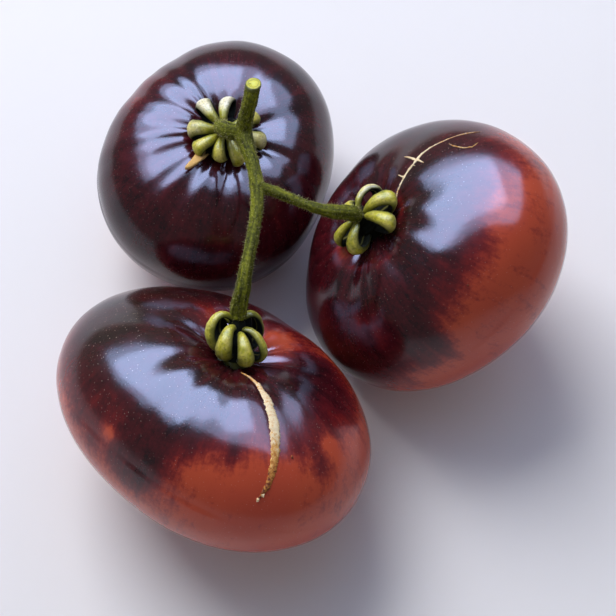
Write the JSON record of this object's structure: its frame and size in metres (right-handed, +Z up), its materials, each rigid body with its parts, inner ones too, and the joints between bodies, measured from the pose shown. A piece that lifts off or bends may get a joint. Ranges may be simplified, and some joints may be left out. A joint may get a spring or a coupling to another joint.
{
  "type": "indigo tomato truss",
  "caption": "Truss of ribbed indigo tomatoes, dark purple over red, joined by one forked green stem with curled calyces and lying on a flat surface.",
  "frame": {"origin": "centre of the bounding box's underside, on the surface the fruits rest on", "axes": "+Z up from the resting surface, +Y from the front fruit towards the back fruit, +X towards the right fruit"},
  "size_m": [0.132, 0.1509, 0.0727],
  "materials": {
    "skin_dark": "glossy skin, nearly black purple over dark red",
    "skin_half": "glossy skin, purple-black shoulder and orange-red side with dark streaks",
    "skin_red": "glossy skin, greenish-black shoulder and red-orange lower side with a corky scar",
    "calyx_green": "thick yellow-green sepals with a soft sheen",
    "stem_green": "green stem with short pale hairs"
  },
  "bodies": {
    "root": {"tomato_back": "skin_dark", "calyx_back": "calyx_green", "tomato_right": "skin_half", "calyx_right": "calyx_green", "tomato_front": "skin_red", "calyx_front": "calyx_green", "truss_stem": "stem_green"}
  },
  "joints": []
}
